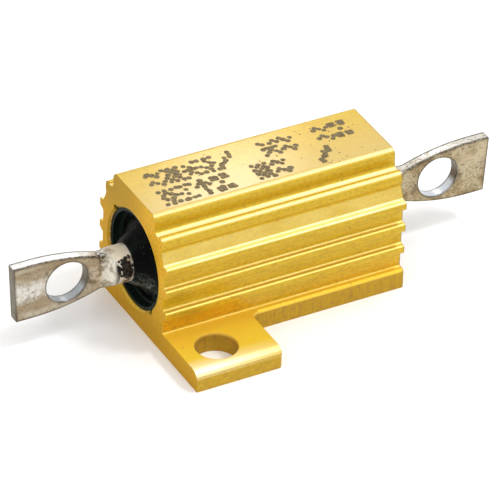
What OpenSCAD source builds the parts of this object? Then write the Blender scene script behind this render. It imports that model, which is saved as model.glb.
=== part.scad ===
// Aluminium housed power resistor: an extruded, ribbed and anodised housing on two
// diagonal mounting lugs, with a wire-wound element potted in its bore.
// Millimetres. X runs along the extrusion, Z is up, the base lies on z = 0 and the
// origin is the centre of the base.

/* [Housing] */
// Length of the sawn extrusion
body_len = 15.9; // [13:0.1:24]
// Diameter of the bore that takes the resistance element
bore_d = 6.25; // [5.6:0.05:8]
// Metal between the bore and the mounting face
floor_wall = 1.05; // [0.8:0.05:2]
// Metal between the bore and the flat top
roof_wall = 1.5; // [1.2:0.05:3]
// Metal between the bore and the bottom of the grooves on the flank
flank_wall = 0.68; // [0.5:0.02:1.5]

/* [Cooling ribs] */
// Distance from one rib to the next
rib_pitch = 1.55; // [1.3:0.05:2.2]
// Thickness of a rib at its tip
rib_t = 0.5; // [0.35:0.05:0.7]
// How far a rib stands out of the flank
rib_reach = 0.42; // [0.25:0.01:0.8]
// How much thicker a rib is at its root than at its tip
rib_draft = 0.2; // [0:0.05:0.3]
// Height of the raised top land above the shoulder
land_h = 1.2; // [0.9:0.05:2]
// Width of the ledge beside the top land
ledge_w = 0.95; // [0.6:0.05:1.4]
// How far the shoulder stands back from the flank
shoulder_back = 0.25; // [0.1:0.05:0.5]
// Height of the shoulder above its neck
shoulder_t = 0.75; // [0.6:0.05:0.9]
// Depth of the neck under the shoulder
neck_in = 0.1; // [0.05:0.01:0.2]
// Height of the bead along the edge of the ledge
bead_h = 0.13; // [0.05:0.01:0.25]
// Width of that bead
bead_w = 0.45; // [0.3:0.05:0.6]
// Rounding of the edges of the top land
land_r = 0.45; // [0.1:0.05:0.5]
// Rounding of the ribs and of the grooves between them
rib_r = 0.15; // [0.05:0.01:0.17]

/* [Mounting lugs] */
// Thickness of the lugs and of the base
lug_t = 1.3; // [1:0.05:2]
// How far a lug stands out past the base
lug_reach = 3.925; // [3.4:0.025:6]
// Length of a lug along the housing
lug_len = 5.6; // [4.6:0.05:7]
// How far the base stands out past the ribs
base_step = 0.05; // [0.02:0.01:0.3]
// Diameter of the mounting holes
hole_d = 2.6; // [2:0.05:3.2]
// Distance of a mounting hole from the end of the housing
hole_inset = 2.3; // [2:0.05:2.6]
// Distance of a mounting hole from the outer edge of its lug
hole_edge = 2; // [1.8:0.05:2.6]
// Rounding of the outer upper edge of the lugs
lug_edge_r = 0.65; // [0.1:0.05:0.9]
// Radius that the cutter leaves between a lug and the base
cutter_r = 0.5; // [0.2:0.05:0.9]
// Chamfer on the edges that are deburred after milling and drilling
deburr = 0.12; // [0.05:0.01:0.2]

/* [Encapsulation] */
// Radius of the two keying grooves in the bore
key_r = 0.28; // [0.1:0.02:0.36]
// Direction of the keying grooves, from level
key_angle = 45; // [0:5:90]
// How far the moulding stops short of the sawn ends
mould_setback = 0.17; // [0.1:0.01:0.6]
// Depth of the dish in each end of the moulding
dish_depth = 0.6; // [0.2:0.05:1]
// Thickness of the moulding's rim round that dish
dish_rim = 0.2; // [0.1:0.05:0.4]
// Rounding where the floor of the dish meets its rim
dish_floor_r = 0.2; // [0.05:0.05:0.5]
// How far the moulding climbs up the terminal, past the sawn end
collar_climb = 0.5; // [0.1:0.05:0.7]
// Thickness of the moulding where it runs out on the terminal
collar_w = 0.12; // [0.05:0.01:0.3]
// Width of the level floor of the dish, between that collar and the rim
gutter_w = 0.4; // [0.25:0.05:0.8]
// Moulding between the dish and the end cap
end_cover = 1.5; // [1:0.05:2.5]
// Gap between pieces that are bonded or potted together
bond_gap = 0.02; // [0.01:0.01:0.05]

/* [Element] */
// Diameter of the ceramic core
core_d = 3.8; // [3:0.05:4.4]
// Chamfer on the ends of the core, which leads it into the caps
core_chamfer = 0.25; // [0.1:0.05:0.5]
// Thickness of the steel of the end caps
cap_t = 0.32; // [0.2:0.02:0.45]
// Length of core that an end cap covers
cap_grip = 1.7; // [1.2:0.05:2.4]
// Diameter of the resistance wire
wire_d = 0.5; // [0.3:0.05:0.6]
// Distance from one turn of the wire to the next
wire_pitch = 1.1; // [0.8:0.05:1.6]

/* [Terminals] */
// Diameter of the terminal's round shank
shank_d = 2.3; // [1.6:0.05:2.6]
// Length of round shank that stands out of the housing
shank_out = 1.4; // [0.8:0.05:3]
// Length of the flattened stretch, up to the tip
blade_len = 6.4; // [5.9:0.05:9]
// Thickness of the blade
blade_t = 0.7; // [0.4:0.05:1]
// Diameter of the terminal's eye
eye_d = 2.7; // [2:0.05:3.4]
// Metal above and below the eye
eye_wall = 0.52; // [0.4:0.02:1]
// Distance from the blade's tip to the centre of the eye
eye_inset = 3.35; // [2.4:0.05:3.6]
// Length over which the shank is pressed flat
press_len = 0.9; // [0.9:0.05:1.8]
// Length over which the blade widens
flare_len = 4.4; // [3:0.05:5]
// How far the tip's cut is out of square, in degrees
tip_lean = 3; // [0:0.5:6]

/* [Hidden] */
$fn = 96;

// The section of the extrusion, built outwards from the bore
bore_r = bore_d / 2;
bore_z = floor_wall + bore_r;
body_h = bore_z + bore_r + roof_wall;
flank_y = bore_r + flank_wall;
rib_y = flank_y + rib_reach;
base_y = rib_y + base_step;
half_w = base_y + lug_reach;
shoulder_y = flank_y - shoulder_back;
land_y = shoulder_y - ledge_w;
shoulder_z = body_h - land_h;
neck_z = shoulder_z - shoulder_t;
bead_r = 0.8 * bead_w;
ledge_r = 0.7 * (ledge_w - bead_w);
rib_count = floor((shoulder_z - lug_t) / rib_pitch) - 1;

// The lugs and their holes
half_len = body_len / 2;
lug_x = half_len - lug_len;
hole_x = half_len - hole_inset;
hole_y = half_w - hole_edge;
over = 1;

// The element, from the sawn ends inwards
mould_x = half_len - mould_setback;
dish_x = mould_x - dish_depth;
mould_r = bore_r - bond_gap;
dish_r = mould_r - dish_rim;
cap_x = dish_x - end_cover;
core_x = cap_x - cap_t;
core_r = core_d / 2;
cap_r = core_r + bond_gap + cap_t;
cap_rim_x = core_x - cap_grip;
wire_r = wire_d / 2;

// The winding: whole turns that just fit between the rims of the end caps
winding_r = core_r + 2 * bond_gap + wire_r;
winding_room = 2 * (cap_rim_x - wire_r - bond_gap);
turn_count = floor(winding_room / wire_pitch);
turn_pitch = winding_room / turn_count;
turn_steps = 24;
wire_sides = 8;
sleeve_r = max(winding_r + wire_r, cap_r) + bond_gap;

// The terminals
shank_r = shank_d / 2;
blade_h = eye_d + 2 * eye_wall;
tip_x = half_len + shank_out + blade_len;
eye_x = tip_x - eye_inset;
press_x = half_len + shank_out + press_len;
press_r = (pow(press_len, 2) + pow((shank_d - blade_t) / 2, 2)) / (shank_d - blade_t);
flare_rise = blade_h / 2 - shank_r;
flare_r = (pow(flare_len, 2) + pow(flare_rise, 2)) / (2 * flare_rise);
flare_end_x = press_x + flare_len;

// Steps in a full turn of the small rounds of the section
round_steps = 24;

// Arc of radius r at corner p, between the directions of a and b, as points
function round_corner(a, p, b, r) =
    let (
        u = (a - p) / norm(a - p),
        v = (b - p) / norm(b - p),
        half = acos(u * v) / 2,
        centre = p + (u + v) / norm(u + v) * r / sin(half),
        start = p + u * r / tan(half) - centre,
        sweep = (180 - 2 * half) * -sign(cross(u, v)),
        steps = ceil(abs(sweep) / 360 * round_steps)
    )
    [for (i = [0 : steps]) let (t = sweep * i / steps)
        centre + [start.x * cos(t) - start.y * sin(t), start.x * sin(t) + start.y * cos(t)]];

// A closed outline whose corners [x, y, radius] are rounded where the radius is over 0
function rounded(corners) =
    let (n = len(corners), flat = [for (c = corners) [c.x, c.y]])
    [for (i = [0 : n - 1])
        for (p = corners[i].z > 0
                ? round_corner(flat[(i + n - 1) % n], flat[i], flat[(i + 1) % n], corners[i].z)
                : [flat[i]]) p];

// Height of the top of rib i, counted from the base
function rib_top(i) = shoulder_z - rib_pitch * (rib_count - i);

// Corners of one rib, from the groove below it to the groove above it
function rib_corners(i) = [
    [flank_y, rib_top(i) - rib_t - rib_draft, rib_r],
    [rib_y, rib_top(i) - rib_t, rib_r],
    [rib_y, rib_top(i), rib_r],
    [flank_y, rib_top(i), rib_r]
];

// Corners of one half of the section, from the base up to the top land
function half_section() = concat(
    [[half_w, 0, 0], [half_w, lug_t, lug_edge_r], [flank_y, lug_t, rib_r]],
    [for (i = [0 : rib_count - 1], c = rib_corners(i)) c],
    [
        [shoulder_y - neck_in, neck_z, rib_r],
        [shoulder_y, neck_z + 2 * neck_in, rib_r],
        [shoulder_y, shoulder_z + bead_h, bead_r],
        [shoulder_y - bead_w, shoulder_z + bead_h, bead_h / 3],
        [shoulder_y - bead_w, shoulder_z, bead_h / 3],
        [land_y, shoulder_z, ledge_r],
        [land_y, body_h, land_r]
    ]
);

// The other half, in reverse order
function mirrored(corners) =
    [for (i = [len(corners) - 1 : -1 : 0]) [-corners[i].x, corners[i].y, corners[i].z]];

// Puts a section, drawn as [y, z], along X
module along_x(length) {
    rotate([90, 0, 90]) linear_extrude(height = length, center = true) children();
}

// Puts a piece of revolution, drawn as [radius, x], on the axis of the bore
module on_axis() {
    translate([0, 0, bore_z]) rotate([0, 90, 0]) children();
}

// Repeats a piece at the other end, turned half round the vertical
module both_ends() {
    for (turn = [0, 180]) rotate([0, 0, turn]) children();
}

// The bore and its two keying grooves, opened out by gap
module bore_section(gap) {
    translate([0, bore_z]) {
        circle(r = bore_r + gap);
        for (turn = [0, 180]) rotate(key_angle + turn)
            translate([bore_r, 0]) circle(r = key_r + gap, $fn = 32);
    }
}

// What the milling cutter takes off the flange beside the front lug
module milled_away() {
    translate([0, 0, -over]) linear_extrude(height = lug_t + 2 * over)
        polygon(rounded([
            [half_len + over, -half_w - over, 0],
            [-lug_x - deburr - over, -half_w - over, 0],
            [-lug_x, -half_w + deburr, 0],
            [-lug_x, -base_y, cutter_r],
            [half_len + over, -base_y, 0]
        ]));
}

// The chamfer along the upper edge that the cutter leaves on the base
module deburred_edge() {
    edge_start = cutter_r - lug_x;
    edge_end = half_len + over;
    translate([(edge_start + edge_end) / 2, -base_y, lug_t])
        along_x(edge_end - edge_start)
            polygon([[-deburr, 0], [0, -deburr], [deburr, 0], [0, deburr]]);
}

module housing() {
    color([0.87, 0.68, 0.25])
    difference() {
        along_x(body_len) polygon(rounded(concat(half_section(), mirrored(half_section()))));
        along_x(body_len + 2 * over) bore_section(0);
        both_ends() {
            milled_away();
            deburred_edge();
            translate([-hole_x, -hole_y, -over])
                cylinder(d = hole_d, h = lug_t + 2 * over);
            on_axis() translate([0, 0, half_len - deburr])
                cylinder(r1 = bore_r, r2 = bore_r + deburr + over, h = deburr + over);
        }
    }
}

// The dish in the rear end of the moulding, drawn as [radius, x]
module dish_outline() {
    polygon(rounded([
        [0, dish_x, 0],
        [dish_r, dish_x, dish_floor_r],
        [dish_r, mould_x + over, 0],
        [0, mould_x + over, 0]
    ]));
}

// The collar in the middle of the dish, where the moulding climbed up the terminal as
// it set, drawn as [radius, x]
module collar_outline() {
    foot_r = dish_r - gutter_w;
    top_r = shank_r + bond_gap + collar_w;
    top_x = half_len + collar_climb;
    polygon(rounded([
        [0, cap_x + bond_gap, 0],
        [foot_r, cap_x + bond_gap, 0],
        [foot_r, dish_x, 0],
        [0.6 * top_r + 0.4 * foot_r, 0.6 * dish_x + 0.4 * top_x, foot_r - top_r],
        [top_r, top_x, 0],
        [0, top_x, 0]
    ]));
}

module moulding() {
    color([0.08, 0.09, 0.08])
    difference() {
        union() {
            difference() {
                along_x(2 * mould_x) bore_section(-bond_gap);
                both_ends() on_axis() rotate_extrude() dish_outline();
            }
            both_ends() on_axis() rotate_extrude() collar_outline();
        }
        on_axis() cylinder(r = shank_r + bond_gap, h = body_len + 2 * over, center = true);
        on_axis() cylinder(r = sleeve_r, h = 2 * (cap_x + bond_gap), center = true);
    }
}

module ceramic_core() {
    core_half = core_x - bond_gap;
    color([0.93, 0.91, 0.86])
    on_axis() rotate_extrude() polygon([
        [0, -core_half], [core_r - core_chamfer, -core_half], [core_r, core_chamfer - core_half],
        [core_r, core_half - core_chamfer], [core_r - core_chamfer, core_half], [0, core_half]
    ]);
}

// Points of one ring of the wire, at angle a along the helix
function wire_ring(a) =
    let (lean = atan2(turn_pitch, 2 * PI * winding_r))
    [for (k = [0 : wire_sides - 1]) let (
        b = 360 * k / wire_sides,
        r = winding_r + wire_r * cos(b),
        s = wire_r * sin(b),
        x = -winding_room / 2 + turn_pitch * a / 360 + s * cos(lean),
        y = r * cos(a) + s * sin(lean) * sin(a),
        z = r * sin(a) - s * sin(lean) * cos(a)
    ) [x, y, z]];

module resistance_winding() {
    rings = turn_count * turn_steps;
    color([0.72, 0.45, 0.32])
    translate([0, 0, bore_z])
        polyhedron(
            points = [for (i = [0 : rings], p = wire_ring(360 * i / turn_steps)) p],
            faces = concat(
                [[for (k = [0 : wire_sides - 1]) k]],
                [for (i = [0 : rings - 1], k = [0 : wire_sides - 1])
                    let (n = (k + 1) % wire_sides, a = i * wire_sides, b = a + wire_sides)
                    [a + k, b + k, b + n, a + n]],
                [[for (k = [wire_sides - 1 : -1 : 0]) rings * wire_sides + k]]
            )
        );
}

// A pressed steel cup on the rear end of the core, drawn as [radius, x]
module end_cap() {
    color([0.74, 0.74, 0.72])
    on_axis() rotate_extrude() polygon(rounded([
        [0, core_x, 0],
        [cap_r - cap_t, core_x, 0],
        [cap_r - cap_t, cap_rim_x, 0],
        [cap_r, cap_rim_x, 0],
        [cap_r, cap_x, cap_t],
        [0, cap_x, 0]
    ]));
}

module rear_end_cap() end_cap();

module front_end_cap() rotate([0, 0, 180]) end_cap();

// Half of the terminal's outline from the side, as [radius, x]
module terminal_outline() {
    difference() {
        translate([0, cap_x]) square([blade_h / 2, tip_x + over - cap_x]);
        difference() {
            translate([shank_r, cap_x - over]) square([blade_h, flare_end_x - cap_x + over]);
            translate([blade_h / 2 - flare_r, flare_end_x]) circle(r = flare_r, $fn = 180);
        }
    }
}

// The terminal seen from above: the round stretch, and the stretch pressed flat
module terminal_plan() {
    difference() {
        translate([cap_x - over, -blade_h]) square([tip_x - cap_x + 3 * over, 2 * blade_h]);
        for (side = [-1, 1]) scale([1, side]) {
            translate([press_x, blade_t / 2]) square([tip_x, blade_h]);
            translate([press_x, blade_t / 2 + press_r]) circle(r = press_r);
        }
    }
}

module terminal() {
    color([0.74, 0.71, 0.66])
    translate([0, 0, bore_z])
    difference() {
        intersection() {
            rotate([0, 90, 0]) rotate_extrude() terminal_outline();
            translate([0, 0, -blade_h]) linear_extrude(height = 2 * blade_h) terminal_plan();
        }
        translate([eye_x, 0, 0]) rotate([90, 0, 0])
            cylinder(d = eye_d, h = blade_t + 2 * over, center = true);
        translate([tip_x, 0, 0]) rotate([0, tip_lean, 0])
            translate([0, -blade_h, -blade_h]) cube(2 * blade_h);
    }
}

module rear_terminal() terminal();

module front_terminal() rotate([0, 0, 180]) terminal();

housing();
moulding();
ceramic_core();
resistance_winding();
front_end_cap();
rear_end_cap();
front_terminal();
rear_terminal();
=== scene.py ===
"""Looks of the aluminium housed power resistor: materials, print, residue, light and camera."""
import math
import random

import bmesh
import bpy
from mathutils import Matrix, Vector, noise


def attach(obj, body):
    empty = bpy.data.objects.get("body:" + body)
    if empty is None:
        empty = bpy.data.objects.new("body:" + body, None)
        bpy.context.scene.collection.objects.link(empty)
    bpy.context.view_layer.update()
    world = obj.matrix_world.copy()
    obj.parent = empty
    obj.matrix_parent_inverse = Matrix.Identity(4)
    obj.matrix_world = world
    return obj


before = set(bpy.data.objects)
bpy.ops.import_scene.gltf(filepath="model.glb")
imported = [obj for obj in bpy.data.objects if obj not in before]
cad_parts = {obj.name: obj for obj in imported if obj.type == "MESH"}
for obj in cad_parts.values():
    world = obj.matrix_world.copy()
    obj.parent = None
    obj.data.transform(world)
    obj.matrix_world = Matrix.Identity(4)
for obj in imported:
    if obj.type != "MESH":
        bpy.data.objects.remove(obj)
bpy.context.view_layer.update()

MM = 0.001
WHITE = (1, 1, 1, 1)

# Camera: direction from which the object is seen, and its long lens
CAMERA_AZIMUTH = -29.7
CAMERA_ELEVATION = 34.9
CAMERA_ROLL = 2.16
CAMERA_DISTANCE = 299.9 * MM
CAMERA_TARGET = Vector((-0.12, 0, 2.47)) * MM
CAMERA_LENS = 365.8
SENSOR = 36
CLIP_START = 1 * MM
CLIP_END = 10

# Places on the part, in millimetres, as its solids have them
TOP_Z = 8.8
BORE_Z = 4.175
HALF_LEN = 7.95
LUG_T = 1.3
BORE_R = 3.125
SHANK_R = 1.15
EYE_X = 12.4
EYE_R = 1.35

# Lamps: name, azimuth, elevation, distance in metres, degrees of spread, radiance,
# and the point it is aimed at, in millimetres
LAMPS = (
    ("back_glare", 150.3, 34.9, 0.08, 6, 20, (-3, -2, TOP_Z)),
    ("front_key", 54, 60, 0.3, 10, 30, (0, 0, 0)),
    ("edge_glare", 100, 62, 0.3, 7, 20, (0, 0, 0)),
    ("overhead", -20, 62, 0.3, 40, 1.6, (0, 0, 0)),
)
WORLD_LIGHT = 0.9
FLOOR_GREY = 0.86
FLOOR_HALF = 2.0
BEVEL_SAMPLES = 6

# Colours of the anodising. The first seven are the parts of mixtures, and each of the
# others is laid over the rest by the mask of the same name
# Several of these are painted light and shade, as the comments beside them say
GOLD = {
    "drawn_light": (0.63, 0.425, 0.024),
    "drawn_dark": (0.59, 0.39, 0.021),
    "lug_end_light": (0.57, 0.36, 0.02),
    "lug_end_dark": (0.48, 0.30, 0.02),
    "milled_light": (0.56, 0.36, 0.035),
    "milled_dark": (0.44, 0.27, 0.04),
    "milled_stain": (0.36, 0.2, 0.07),
    "cloud": (0.67, 0.47, 0.04),
    "sawn": (0.595, 0.33, 0.01),
    # painted shade on the bore's chamfer
    "rim": (0.36, 0.21, 0.015),
    # painted highlight round the edge of the bore, broken into specks
    "flecks": (0.95, 0.82, 0.5),
    # painted light on the sawn ends
    "sawn_light": (0.90, 0.55, 0.04),
    # painted warm light
    "glow": (0.84, 0.47, 0.03),
    "speckle": (0.42, 0.26, 0.02),
    # painted sheen: the up-facing ledge drawn pale
    "ledge": (0.86, 0.73, 0.34),
    # painted sheen on the rib tops
    "crown": (0.86, 0.68, 0.17),
    # painted sheen, paler still, on the upper rib tops
    "upper_crown": (0.93, 0.80, 0.42),
    # painted sheen: the top face drawn paler, most towards its front edge
    "top": (0.58, 0.43, 0.145),
    # painted shade on the sawn ends
    "sawn_dark": (0.46, 0.28, 0.02),
    # painted light: the up-facing lug and base tops drawn lighter
    "lug": (0.84, 0.60, 0.035),
    # painted reflection of the flank, more orange on the lug tops beside it
    "scorched": (0.80, 0.46, 0.03),
    # painted highlight along the top edge of the milled faces
    "arris": (0.92, 0.66, 0.13),
    # painted highlight along the lugs' rounded outer edges
    "rounded": (0.95, 0.85, 0.56),
    "rear_edge": (0.30, 0.17, 0.02),
    "pits": (0.22, 0.11, 0.02),
}

# Colours of the potting compound, where the first two are the parts of a mixture
COMPOUND = {
    "clean": (0.001, 0.0014, 0.001),
    "film": (0.009, 0.014, 0.008),
    "wall": (0.014, 0.026, 0.019),
    "smears": (0.05, 0.065, 0.045),
    "dust": (0.32, 0.33, 0.29),
}

# Colours of the tinning, where the first two are the parts of a mixture
TIN = {
    "pale": (0.50, 0.445, 0.34),
    "tan": (0.345, 0.27, 0.175),
    "band": (0.76, 0.74, 0.69),
    "rear": (0.37, 0.28, 0.125),
    "rear_streaks": (0.24, 0.165, 0.085),
    "rear_pale": (0.55, 0.485, 0.33),
    "tarnish": (0.20, 0.145, 0.09),
    "spots": (0.10, 0.075, 0.05),
    "eye": (0.36, 0.40, 0.43),
    "rear_spots": (0.14, 0.09, 0.04),
    "rear_tip": (0.58, 0.48, 0.33),
    # painted highlight on the lower wall of the rear eye
    "rear_eye": (0.66, 0.69, 0.72),
    "shank": (0.80, 0.76, 0.65),
    "stained": (0.21, 0.16, 0.08),
    "flat_edge": (0.80, 0.79, 0.76),
    "rear_flat_edge": (0.48, 0.44, 0.37),
    "end_face": (0.13, 0.105, 0.07),
    "rear_rust": (0.26, 0.16, 0.08),
    "burr": (0.08, 0.068, 0.05),
    "worn": (0.075, 0.058, 0.035),
    "burnt": (0.03, 0.03, 0.015),
}

# Printed marks: abstract dot patterns, seven dots high
MARKS = {
    "weave": ("#.#.#", ".#.#.", "#.#.#", ".#.#.", "#.#.#", ".#.#.", "#.#.#"),
    "lattice": ("#.#.#", "..#..", ".#.#.", "#...#", ".#.#.", "..#..", "#.#.#"),
    "dashes": ("##.##", ".....", "..#..", "#...#", "..#..", ".....", "##.##"),
    "blocks": ("##.##", "##.##", ".....", "..#..", ".....", "##.##", "##.##"),
    "steps": ("....#", "....#", "..###", "..#..", "###..", "#....", "#...."),
    "spark": ("#...#", ".#.#.", "..#..", "#####", "..#..", ".#.#.", "#...#"),
    "waves": (".#...", "#.#.#", "...#.", ".....", ".#...", "#.#.#", "...#."),
    "arrow": ("..#..", ".###.", "#.#.#", "..#..", "..#..", "..#..", "..#.."),
}
MIDDLE_ROW = 3
# Each group of marks: left end, middle across the top, names
GROUPS = (
    (-6.6, 0.8, ("waves", "weave", "spark", "lattice", "steps")),
    (0.95, 0.8, ("spark", "waves")),
    (4.55, 0.8, ("waves", "blocks")),
    (-6.65, -1.15, ("lattice", "dashes", "arrow", "blocks")),
    (-0.5, -1.15, ("weave", "waves")),
    (3.6, -1.15, ("steps",)),
)
PRINT_SEED = 5
# Steps from mark to mark and from dot to dot, and sizes, in millimetres
MARK_STEP = 1.16
DOT_STEP = 0.21
DOT_RISE = 0.22
DOT_WANDER = 0.03
DOT_RADII = (0.155, 0.2)
DOTS_MISSING = 0.04
BLOT_CORNERS = 11
BLOT_WOBBLE = (0.84, 1.16)
SPATTER = 60
SPATTER_RADII = (0.02, 0.06)
SPATTER_Y = 1.1
SPATTER_LEFT = 0.2
SPATTER_RIGHT = 0.6
# The ink lies just above the top, and each dot just above the one before it
INK_LIFT = 0.002
INK_LAYER = 0.00002

# Burnt flux: crumbs on the shank. Their angle goes from its top towards the near side.
# Angle and depth are a middle and a spread, and X is lowest, highest and likeliest
CRUMB_SEED = 3
CRUMBS = 85
CRUMB_ANGLE = (66, 13)
CRUMB_DEPTH = (0.02, 0.07)
CRUMB_RADII = (0.05, 0.13)
CRUMB_X = (-HALF_LEN - 1.55, -HALF_LEN - 0.5, -HALF_LEN - 1.05)
CRUMB_SWELL = 0.45
CRUMB_LUMPS = 1.3


def direction(azimuth, elevation):
    """Unit vector towards that azimuth, which is 0 at the front and 90 at the right."""
    a, e = math.radians(azimuth), math.radians(elevation)
    return Vector((math.sin(a) * math.cos(e), -math.cos(a) * math.cos(e), math.sin(e)))


def aim_camera():
    """A camera that looks at the target from the given direction, rolled about its own axis."""
    roll = math.radians(CAMERA_ROLL)
    back = direction(CAMERA_AZIMUTH, CAMERA_ELEVATION)
    right = Vector((0, 0, 1)).cross(back).normalized()
    up = back.cross(right)
    turned_right = right * math.cos(roll) + up * math.sin(roll)
    turned_up = up * math.cos(roll) - right * math.sin(roll)
    data = bpy.data.cameras.new("camera")
    data.lens = CAMERA_LENS
    data.sensor_width = SENSOR
    data.clip_start = CLIP_START
    data.clip_end = CLIP_END
    camera = bpy.data.objects.new("camera", data)
    turn = Matrix((turned_right, turned_up, back)).transposed()
    place = Matrix.Translation(CAMERA_TARGET + back * CAMERA_DISTANCE)
    camera.matrix_world = place @ turn.to_4x4()
    bpy.context.collection.objects.link(camera)
    bpy.context.scene.camera = camera


def softbox(name, azimuth, elevation, distance, spread, radiance, aim):
    """A square white lamp aimed at a point. Seen from there it is spread degrees wide."""
    back = direction(azimuth, elevation)
    size = 2 * distance * math.tan(math.radians(spread / 2))
    data = bpy.data.lights.new(name, "AREA")
    data.shape = "SQUARE"
    data.size = size
    data.energy = radiance * math.pi * size * size
    lamp = bpy.data.objects.new(name, data)
    lamp.location = Vector(aim) * MM + back * distance
    lamp.rotation_mode = "QUATERNION"
    lamp.rotation_quaternion = (-back).to_track_quat("-Z", "Y")
    bpy.context.collection.objects.link(lamp)


class Nodes:
    """A small wrapper that makes a material's nodes and links in single lines."""

    def __init__(self, name):
        self.material = bpy.data.materials.new(name)
        self.material.use_nodes = True
        self.tree = self.material.node_tree
        self.tree.nodes.clear()
        self.output = self.new("OutputMaterial")
        self.coordinates = self.new("TexCoord")
        self.x, self.y, self.z = self.split(self.place())
        self.nx, _, self.nz = self.split(self.coordinates.outputs["Normal"])

    def new(self, kind):
        return self.tree.nodes.new("ShaderNode" + kind)

    def put(self, socket, value):
        """Links a socket's value, or sets a constant one."""
        if isinstance(value, bpy.types.NodeSocket):
            self.tree.links.new(value, socket)
        else:
            socket.default_value = value

    def split(self, vector):
        node = self.new("SeparateXYZ")
        self.put(node.inputs[0], vector)
        return node.outputs[0], node.outputs[1], node.outputs[2]

    def place(self, stretch=1, shift=(0, 0, 0), turn=(0, 0, 0)):
        """Coordinates in millimetres, multiplied by stretch, one number or one for each axis."""
        if not isinstance(stretch, tuple):
            stretch = (stretch,) * 3
        node = self.new("Mapping")
        node.inputs["Location"].default_value = shift
        node.inputs["Rotation"].default_value = [math.radians(t) for t in turn]
        node.inputs["Scale"].default_value = [s / MM for s in stretch]
        self.put(node.inputs["Vector"], self.coordinates.outputs["Object"])
        return node.outputs[0]

    def math(self, operation, a, b=0.0):
        node = self.new("Math")
        node.operation = operation
        self.put(node.inputs[0], a)
        self.put(node.inputs[1], b)
        return node.outputs[0]

    def both(self, *masks):
        """Product of masks."""
        total = masks[0]
        for mask in masks[1:]:
            total = self.math("MULTIPLY", total, mask)
        return total

    def either(self, a, b):
        return self.math("MAXIMUM", a, b)

    def other(self, mask):
        return self.math("SUBTRACT", 1.0, mask)

    def sum(self, *values):
        total = values[0]
        for value in values[1:]:
            total = self.math("ADD", total, value)
        return total

    def times(self, value, factor):
        return self.math("MULTIPLY", value, factor)

    def abs(self, value):
        return self.math("ABSOLUTE", value)

    def away(self, a, b):
        """Distance from the axis where both values are 0."""
        return self.math("SQRT", self.sum(self.math("POWER", a, 2.0), self.math("POWER", b, 2.0)))

    def ramp(self, value, low, high, start=0.0, end=1.0):
        """Value stretched so that low gives start and high gives end, held between them."""
        node = self.new("MapRange")
        self.put(node.inputs["Value"], value)
        node.inputs["From Min"].default_value = low
        node.inputs["From Max"].default_value = high
        node.inputs["To Min"].default_value = start
        node.inputs["To Max"].default_value = end
        return node.outputs[0]

    def mix(self, factor, a, b):
        """Colour a, with b over it by the factor. The numbered sockets are the colour ones."""
        node = self.new("Mix")
        node.data_type = "RGBA"
        self.put(node.inputs["Factor"], factor)
        for socket, value in ((node.inputs[6], a), (node.inputs[7], b)):
            self.put(socket, value if isinstance(value, bpy.types.NodeSocket) else (*value, 1))
        return node.outputs[2]

    def layers(self, base, colours, **masks):
        """The base colour, with the colour named after each mask mixed over it in turn."""
        for name, mask in masks.items():
            base = self.mix(mask, base, colours[name])
        return base

    def noise(self, stretch, shift=(0, 0, 0), detail=3.0, turn=(0, 0, 0)):
        """Cloudy noise with so many features per millimetre, on each axis or on all."""
        node = self.new("TexNoise")
        self.put(node.inputs["Vector"], self.place(stretch, shift, turn))
        node.inputs["Scale"].default_value = 1
        node.inputs["Detail"].default_value = detail
        return node.outputs["Fac"]

    def specks(self, per_mm, size, share):
        """A mask of small scattered dots: that share of the cells holds one."""
        node = self.new("TexVoronoi")
        self.put(node.inputs["Vector"], self.place(per_mm))
        node.inputs["Scale"].default_value = 1
        chance, _, _ = self.split(node.outputs["Color"])
        dot = self.ramp(node.outputs["Distance"], size, size * 0.5)
        return self.both(dot, self.ramp(chance, share, share * 0.9))

    def bump(self, height, depth, normal=None):
        """Normal of a surface whose height varies by depth, in millimetres."""
        node = self.new("Bump")
        node.inputs["Distance"].default_value = depth * MM
        node.inputs["Strength"].default_value = 1
        self.put(node.inputs["Height"], height)
        if normal is not None:
            self.put(node.inputs["Normal"], normal)
        return node.outputs[0]

    def soft_edges(self, radius):
        """Normal of a surface whose edges are rounded by the radius, in millimetres."""
        node = self.new("Bevel")
        node.samples = BEVEL_SAMPLES
        node.inputs["Radius"].default_value = radius * MM
        return node.outputs[0]

    def edges(self, radius):
        """1 at the edges and 0 on the faces, fading over the radius, in millimetres."""
        node = self.new("VectorMath")
        node.operation = "DOT_PRODUCT"
        self.put(node.inputs[0], self.soft_edges(radius))
        self.put(node.inputs[1], self.new("NewGeometry").outputs["Normal"])
        return self.ramp(node.outputs["Value"], 0.99, 0.9)

    def finish(self, **sockets):
        """A Principled shader with these inputs, as the material's surface."""
        shader = self.new("BsdfPrincipled")
        for name, value in sockets.items():
            self.put(shader.inputs[name.replace("_", " ").title().replace("Ior", "IOR")], value)
        self.put(self.output.inputs[0], shader.outputs[0])
        return self.material


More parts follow.
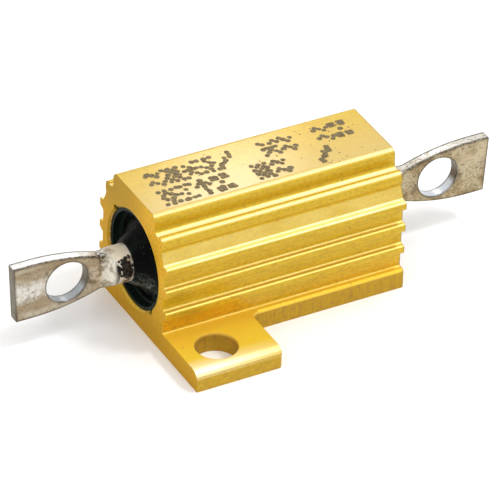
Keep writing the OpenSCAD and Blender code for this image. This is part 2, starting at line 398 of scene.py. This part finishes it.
def gold_anodised():
    """Satin gold anodising with extrusion lines, sawn ends, milled lower edges and painted light
    and shade.
    """
    n = Nodes("gold_anodised")
    drawn = n.noise((0.12, 8, 8))
    grain = n.noise(11, detail=2)
    cloud = n.noise((0.5, 0.9, 0.9), shift=(3, 1, 5))
    mottle = n.noise(3.5, shift=(8, 2, 4), detail=5)
    speckle = n.noise((4, 7, 7), shift=(1, 9, 4), detail=5)
    saw_lines = n.noise((1, 7, 0.8), turn=(20, 0, 0))
    cutter_lines = n.noise((9, 9, 0.7))

    # Masks of the faces, which fade between two places in millimetres or two slopes
    from_bore = n.away(n.y, n.sum(n.z, -BORE_Z))
    far_x, far_y = n.abs(n.x), n.abs(n.y)
    rim = n.both(n.ramp(from_bore, BORE_R + 0.16, BORE_R + 0.13), n.ramp(far_x, 7.7, 7.75))
    sawn = n.either(n.ramp(n.abs(n.nx), 0.8, 0.95), rim)
    low = n.ramp(n.z, LUG_T + 0.05, LUG_T - 0.02)
    upright = n.ramp(n.abs(n.nz), 0.5, 0.3)
    inboard = n.ramp(far_y, 8.15, 8.1)
    inside = n.other(n.both(sawn, n.ramp(far_x, 7.8, 7.9)))
    milled = n.both(low, upright, inboard, inside)
    cut = n.either(sawn, milled)
    up = n.ramp(n.nz, 0.45, 0.95)
    ledge = n.both(up, n.ramp(n.z, 7.3, 7.5), n.ramp(n.z, 7.72, 7.64))
    on_base = n.ramp(n.z, 1.5, 1.35)
    lug = n.both(up, on_base)
    # the lugs' rounded outer edges, where a highlight is painted
    rounded = n.both(on_base, n.ramp(far_y, 6.8, 7.75), n.ramp(n.nz, 0.25, 0.7))
    # ribs and crown: the up-facing rib tops on the flanks, where sheen is painted
    ribs = n.both(n.ramp(n.nz, 0.3, 0.75), n.ramp(n.z, 7.3, 7.2), n.ramp(n.z, 1.6, 1.7))
    crown = n.both(ribs, n.other(sawn))
    # inner band of the bore's chamfer, where a highlight is painted
    flecks = n.both(rim, n.ramp(from_bore, BORE_R + 0.08, BORE_R + 0.03))
    # low on the flanks, just above the lugs, towards the ends: where warm light is painted
    glow = n.both(n.ramp(n.z, 3.2, 1.6), n.ramp(n.z, 1.2, 1.35), n.ramp(far_x, 0, 4))
    # where the reflection of the flank is painted on the lugs
    scorched = n.both(n.ramp(far_y, 6.6, 4.9), n.ramp(cloud, 0.35, 0.6, 0.2, 0.7))

    lug_end = n.mix(n.ramp(mottle, 0.4, 0.62), GOLD["lug_end_light"], GOLD["lug_end_dark"])
    brown = n.mix(n.ramp(cutter_lines, 0.35, 0.75), GOLD["milled_light"], GOLD["milled_dark"])
    brown = n.mix(n.ramp(mottle, 0.52, 0.66, 0, 0.7), brown, GOLD["milled_stain"])
    gold = n.layers(
        n.mix(n.ramp(drawn, 0.3, 0.7), GOLD["drawn_light"], GOLD["drawn_dark"]),
        dict(GOLD, lug_end=lug_end, milled=brown),
        cloud=n.ramp(cloud, 0.35, 0.7, 0, 0.5),
        sawn=n.times(sawn, n.ramp(saw_lines, 0.3, 0.7, 0.75, 1)),
        # painted shade on the bore's chamfer, darkest at its bottom
        rim=n.times(rim, n.ramp(n.z, 2.5, 6.5, 0.55, 0)),
        # painted highlight round the bore's edge, broken into specks
        flecks=n.both(flecks, n.ramp(speckle, 0.44, 0.6), 0.5),
        # painted light on the sawn ends, brighter towards -Y and upwards
        sawn_light=n.both(sawn, n.ramp(n.y, 0.5, -3.5), n.ramp(n.z, 1, 5)),
        lug_end=n.both(low, upright, n.other(inboard)),
        # painted warm light low on the flanks, towards the ends
        glow=n.both(glow, n.other(sawn), 0.3),
        speckle=n.ramp(speckle, 0.46, 0.70, 0, 0.55),
        # painted sheen on the ledge
        ledge=n.times(ledge, 0.8),
        # painted sheen on the rib tops, paler higher up
        crown=n.times(crown, n.ramp(n.z, 4.5, 6, 0.6, 0.9)),
        # painted sheen on the upper rib tops, patchy
        upper_crown=n.both(crown, n.ramp(n.z, 5.2, 6.2), n.ramp(cloud, 0.3, 0.6, 0.3, 0.8)),
        # painted sheen on the top face, strongest towards -Y
        top=n.both(up, n.ramp(n.z, 8.5, 8.6), n.ramp(n.y, 2.5, -2, 0.3, 0.95)),
        # painted shade on the sawn ends, towards +Y and the top
        sawn_dark=n.both(sawn, n.ramp(n.y, -1.5, 2.5), n.ramp(n.z, 5.5, 7.5)),
        # painted light on the up-facing lug and base tops
        lug=n.times(lug, 0.7),
        # painted reflection of the flank on the lug tops
        scorched=n.both(lug, scorched),
        milled=n.times(milled, 0.85),
        # painted highlight on the top edge of the milled faces
        arris=n.both(milled, n.ramp(n.z, 1.1, 1.16), 0.8),
        # painted highlight on the lugs' rounded outer edges, strongest towards the ends
        rounded=n.both(rounded, n.ramp(far_x, 2.4, 7, 0.25, 0.85)),
        rear_edge=n.both(
            n.edges(0.15), n.ramp(n.x, 7.75, 7.85), n.ramp(mottle, 0.4, 0.6, 0.4, 0.9)
        ),
        pits=n.specks(1.6, 0.09, 0.12),
    )
    height = n.sum(
        n.times(drawn, n.times(n.other(cut), 1.2)),
        n.times(grain, 0.5),
        n.times(n.both(saw_lines, sawn), 1.5),
        n.times(n.both(cutter_lines, milled), 4),
    )
    # Less metallic where sheen is painted: the ledge and lugs here, the upper rib tops in the
    # metallic below
    dulled = n.times(n.either(ledge, lug), -0.55)
    return n.finish(
        base_color=gold,
        metallic=n.sum(1.0, dulled, n.times(crown, n.ramp(n.z, 4, 6, 0, -0.4))),
        roughness=n.sum(n.ramp(grain, 0.3, 0.7, 0.5, 0.58), n.times(cut, 0.12)),
        coat_weight=n.sum(0.3, n.times(cut, -0.26)),
        coat_roughness=0.17,
        coat_ior=1.6,
        normal=n.bump(height, 0.006, n.soft_edges(0.09)),
    )


def encapsulant():
    """Black potting compound, glossy where it is clean and dusty beside the terminal."""
    n = Nodes("encapsulant")
    flow = n.noise(1.2)
    grain = n.noise(9, detail=4)
    dusty_spot = n.away(n.sum(n.y, 1.45), n.sum(n.z, 1.15 - BORE_Z))
    film = n.ramp(n.noise(1.1, shift=(2, 7, 1), detail=5), 0.48, 0.62, 0, 0.4)
    smears = n.noise(7, shift=(3, 3, 8), detail=4)
    black = n.layers(
        n.mix(film, COMPOUND["clean"], COMPOUND["film"]),
        COMPOUND,
        wall=n.ramp(n.away(n.y, n.sum(n.z, -BORE_Z)), 2.7, 2.85, 0, 0.5),
        smears=n.ramp(smears, 0.64, 0.74, 0, 0.8),
        dust=n.both(
            n.ramp(dusty_spot, 1.25, 0.1),
            n.ramp(grain, 0.42, 0.78),
            n.ramp(n.noise(2, detail=5), 0.35, 0.6),
        ),
    )
    return n.finish(
        base_color=black,
        roughness=n.ramp(flow, 0.3, 0.7, 0.25, 0.4),
        specular_ior_level=0.035,
        normal=n.bump(n.sum(flow, n.times(grain, 0.15)), 0.03),
    )


def tinned():
    """Dull tinning over the terminal, tarnished in tan and brown."""
    n = Nodes("tinned_terminal")
    run = n.noise((0.45, 1.6, 1.6), detail=5)
    patch = n.noise(1.3, shift=(4, 2, 9), detail=5)
    fine = n.noise(6, detail=4)
    rolled = n.noise((0.6, 10, 10))
    streak = n.noise((7, 7, 1.2), shift=(1, 5, 2), detail=4)
    blotch = n.noise(2.2, shift=(6, 1, 1), detail=5)

    # Masks, of places in millimetres: height and out are measured from the middle of the eye
    height = n.sum(n.z, -BORE_Z)
    far_x = n.abs(n.x)
    out = n.sum(far_x, -EYE_X)
    front, rear = n.ramp(n.x, 1, -1), n.ramp(n.x, -1, 1)
    eye = n.ramp(n.away(out, height), EYE_R + 0.05, EYE_R + 0.01)
    band = n.both(n.ramp(n.abs(n.sum(height, -0.05)), 0.8, 0.35), n.ramp(patch, 0.3, 0.5))
    band = n.both(band, n.ramp(out, -0.4, 0.8, 0.6, 1))
    rear_tip = n.both(rear, n.ramp(out, 0, 1.6), n.ramp(height, -0.6, 0.7))
    shank = n.both(n.ramp(far_x, 10.4, 9.5), n.ramp(patch, 0.66, 0.52), front)
    stained = n.both(n.ramp(far_x, 9.3, 9.7), n.ramp(far_x, 10.9, 10.4))
    stained = n.both(stained, n.ramp(blotch, 0.5, 0.6), front)
    flat_edge = n.both(n.ramp(n.abs(n.nz), 0.6, 0.85), n.ramp(far_x, 9.6, 10.2), n.other(eye))
    burr = n.both(flat_edge, n.ramp(n.abs(n.y), 0.19, 0.27))
    worn = n.both(n.edges(0.28), n.other(flat_edge), n.ramp(far_x, 9.4, 10))
    from_burn = n.away(n.away(n.sum(n.x, 10.15), n.sum(n.y, 0.15)), n.sum(height, -1.0))

    metal = n.layers(
        n.mix(n.ramp(run, 0.38, 0.60), TIN["pale"], TIN["tan"]),
        TIN,
        band=n.times(band, 0.85),
        rear=n.times(rear, 0.7),
        rear_streaks=n.both(rear, n.ramp(streak, 0.42, 0.6, 0, 0.55)),
        rear_pale=n.both(rear, n.ramp(patch, 0.5, 0.42, 0, 0.5)),
        tarnish=n.ramp(patch, 0.54, 0.68, 0, 0.85),
        spots=n.ramp(fine, 0.56, 0.70, 0, 0.7),
        eye=n.times(eye, 0.8),
        rear_spots=n.both(rear, n.ramp(fine, 0.5, 0.68, 0, 0.6)),
        rear_tip=n.both(rear_tip, n.ramp(run, 0.4, 0.7, 0.1, 0.6)),
        # painted highlight: the lower, upward-facing wall of the rear eye drawn pale
        rear_eye=n.both(eye, rear, n.ramp(height, 0.2, -0.6)),
        shank=n.times(shank, 0.85),
        stained=n.times(stained, 0.75),
        flat_edge=n.times(flat_edge, n.ramp(patch, 0.75, 0.6, 0.5, 0.95)),
        rear_flat_edge=n.both(flat_edge, rear, n.ramp(run, 0.35, 0.6, 0.4, 0.9)),
        end_face=n.times(n.ramp(n.abs(n.nx), 0.8, 0.95), 0.95),
        rear_rust=n.both(flat_edge, rear, n.ramp(fine, 0.56, 0.64, 0, 0.8)),
        burr=n.both(burr, n.ramp(fine, 0.35, 0.55, 0.6, 1)),
        worn=n.both(worn, n.ramp(patch, 0.35, 0.5, 0.6, 0.95)),
        burnt=n.both(n.ramp(from_burn, 0.5, 0.2), n.ramp(fine, 0.42, 0.52), 0.9),
    )
    relief = n.sum(n.times(rolled, 0.5), fine, n.times(patch, 2))
    return n.finish(
        base_color=metal,
        metallic=n.sum(1.0, n.times(shank, -0.6)),
        roughness=n.ramp(patch, 0.3, 0.7, 0.3, 0.5),
        normal=n.bump(relief, 0.012, n.soft_edges(0.06)),
    )


def ink():
    """Worn brown ink."""
    n = Nodes("ink")
    worn = n.noise(7, detail=4)
    return n.finish(
        base_color=n.mix(n.ramp(worn, 0.35, 0.7), (0.105, 0.08, 0.035), (0.21, 0.15, 0.06)),
        roughness=0.6,
        specular_ior_level=0.3,
        normal=n.bump(worn, 0.004),
    )


def burnt_flux():
    """Glassy, nearly black residue."""
    n = Nodes("burnt_flux")
    mottle = n.noise(4)
    return n.finish(
        base_color=n.mix(n.ramp(mottle, 0.4, 0.65), (0.003, 0.002, 0.0015), (0.028, 0.017, 0.006)),
        roughness=0.3,
        specular_ior_level=0.3,
        normal=n.bump(mottle, 0.02),
    )


def ceramic():
    """Unglazed off-white ceramic with small pores."""
    n = Nodes("ceramic")
    pores = n.specks(3, 0.15, 0.3)
    cloud = n.noise(1.2, detail=4)
    body = n.mix(n.ramp(cloud, 0.35, 0.65), (0.82, 0.80, 0.74), (0.72, 0.69, 0.62))
    return n.finish(
        base_color=n.mix(pores, body, (0.5, 0.46, 0.4)),
        roughness=0.6,
        normal=n.bump(n.sum(cloud, n.times(pores, -0.6)), 0.01),
    )


def resistance_wire():
    """Bare drawn wire, oxidised in patches."""
    n = Nodes("resistance_wire")
    oxide = n.noise(2, detail=4)
    drawn = n.noise((12, 3, 3))
    return n.finish(
        base_color=n.mix(n.ramp(oxide, 0.35, 0.65), (0.36, 0.27, 0.22), (0.17, 0.15, 0.15)),
        metallic=1.0,
        roughness=n.ramp(oxide, 0.3, 0.7, 0.3, 0.5),
        normal=n.bump(drawn, 0.004),
    )


def cap_steel():
    """Pressed steel with a few brown stains."""
    n = Nodes("cap_steel")
    pressed = n.noise((1, 9, 9))
    stain = n.noise(1.5, detail=4)
    return n.finish(
        base_color=n.mix(n.ramp(stain, 0.5, 0.75), (0.55, 0.55, 0.53), (0.33, 0.28, 0.22)),
        metallic=1.0,
        roughness=n.ramp(pressed, 0.3, 0.7, 0.28, 0.42),
        normal=n.bump(pressed, 0.005),
    )


def dress(node, material):
    """Gives a CAD node's object the material."""
    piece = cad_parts[node]
    piece.data.materials.clear()
    piece.data.materials.append(material)


def new_piece(name, bm, material, smooth=False):
    """A visible piece of the object, made of the mesh, that rides with the housing."""
    mesh = bpy.data.meshes.new(name)
    bm.to_mesh(mesh)
    bm.free()
    for face in mesh.polygons:
        face.use_smooth = smooth
    mesh.materials.append(material)
    piece = bpy.data.objects.new(name, mesh)
    bpy.context.collection.objects.link(piece)
    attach(piece, "root")


def blot(bm, x, y, z, radius, rng):
    """An uneven round dot of ink."""
    wobble = [rng.uniform(*BLOT_WOBBLE) for _ in range(BLOT_CORNERS)]
    ring = []
    for i in range(BLOT_CORNERS):
        r = radius * (wobble[i] + wobble[i - 1]) / 2
        a = 2 * math.pi * i / BLOT_CORNERS
        ring.append(bm.verts.new(Vector((x + r * math.cos(a), y + r * math.sin(a), z)) * MM))
    bm.faces.new(ring)


def print_marks():
    """The dots of all the marks, a few of them missing, and fine spatter round the groups."""
    rng = random.Random(PRINT_SEED)
    bm = bmesh.new()
    z = TOP_Z + INK_LIFT
    for left, middle, names in GROUPS:
        for i, name in enumerate(names):
            for row, dots in enumerate(MARKS[name]):
                for column, dot in enumerate(dots):
                    if dot != "#" or rng.random() < DOTS_MISSING:
                        continue
                    x = left + MARK_STEP * i + DOT_STEP * column + rng.gauss(0, DOT_WANDER)
                    y = middle + DOT_RISE * (MIDDLE_ROW - row) + rng.gauss(0, DOT_WANDER)
                    z += INK_LAYER
                    blot(bm, x, y, z, rng.uniform(*DOT_RADII), rng)
    for _ in range(SPATTER):
        left, middle, names = rng.choice(GROUPS)
        x = left + rng.uniform(-SPATTER_LEFT, MARK_STEP * len(names) + SPATTER_RIGHT)
        y = middle + rng.uniform(-SPATTER_Y, SPATTER_Y)
        z += INK_LAYER
        blot(bm, x, y, z, rng.uniform(*SPATTER_RADII), rng)
    new_piece("print_marks", bm, ink())


def crumb(bm, centre, radius, seed):
    """A rough, uneven crumb."""
    for v in bmesh.ops.create_icosphere(bm, subdivisions=2, radius=1)["verts"]:
        lumps = noise.noise(v.co * CRUMB_LUMPS + Vector((seed * 3.7, seed * 1.9, 0)))
        v.co = (Vector(centre) + v.co * radius * (1 + CRUMB_SWELL * lumps)) * MM


def flux_residue():
    """Crumbs of burnt flux round the root of the front terminal."""
    rng = random.Random(CRUMB_SEED)
    bm = bmesh.new()
    for seed in range(CRUMBS):
        a = math.radians(rng.gauss(*CRUMB_ANGLE))
        r = SHANK_R + abs(rng.gauss(*CRUMB_DEPTH))
        x = rng.triangular(*CRUMB_X)
        centre = (x, -r * math.sin(a), BORE_Z + r * math.cos(a))
        crumb(bm, centre, rng.uniform(*CRUMB_RADII), seed)
    new_piece("flux_residue", bm, burnt_flux(), smooth=True)


def pale_floor():
    """A wide, pale, level floor under the object."""
    h = FLOOR_HALF
    mesh = bpy.data.meshes.new("floor")
    mesh.from_pydata([(-h, -h, 0), (h, -h, 0), (h, h, 0), (-h, h, 0)], [], [(0, 1, 2, 3)])
    floor = bpy.data.objects.new("floor", mesh)
    bpy.context.collection.objects.link(floor)
    n = Nodes("floor")
    diffuse = n.new("BsdfDiffuse")
    diffuse.inputs[0].default_value = (FLOOR_GREY, FLOOR_GREY, FLOOR_GREY, 1)
    n.put(n.output.inputs[0], diffuse.outputs[0])
    floor.data.materials.append(n.material)


def white_world():
    """Soft light from all sides, white where the camera, gloss or glass sees it."""
    world = bpy.data.worlds.new("world")
    bpy.context.scene.world = world
    world.use_nodes = True
    tree = world.node_tree
    tree.nodes.clear()
    path = tree.nodes.new("ShaderNodeLightPath")
    seen = path.outputs["Is Camera Ray"]
    for kind in ("Is Glossy Ray", "Is Transmission Ray"):
        either = tree.nodes.new("ShaderNodeMath")
        either.operation = "MAXIMUM"
        tree.links.new(seen, either.inputs[0])
        tree.links.new(path.outputs[kind], either.inputs[1])
        seen = either.outputs[0]
    mix = tree.nodes.new("ShaderNodeMixShader")
    tree.links.new(seen, mix.inputs[0])
    for slot, strength in ((1, WORLD_LIGHT), (2, 1.0)):
        background = tree.nodes.new("ShaderNodeBackground")
        background.inputs["Color"].default_value = WHITE
        background.inputs["Strength"].default_value = strength
        tree.links.new(background.outputs[0], mix.inputs[slot])
    output = tree.nodes.new("ShaderNodeOutputWorld")
    tree.links.new(mix.outputs[0], output.inputs[0])


aim_camera()
for lamp in LAMPS:
    softbox(*lamp)
pale_floor()
white_world()
dress("housing", gold_anodised())
dress("moulding", encapsulant())
dress("ceramic_core", ceramic())
dress("resistance_winding", resistance_wire())
steel = cap_steel()
tin = tinned()
for end in ("front", "rear"):
    dress(end + "_end_cap", steel)
    dress(end + "_terminal", tin)
print_marks()
flux_residue()

bpy.context.scene.view_settings.view_transform = "Standard"
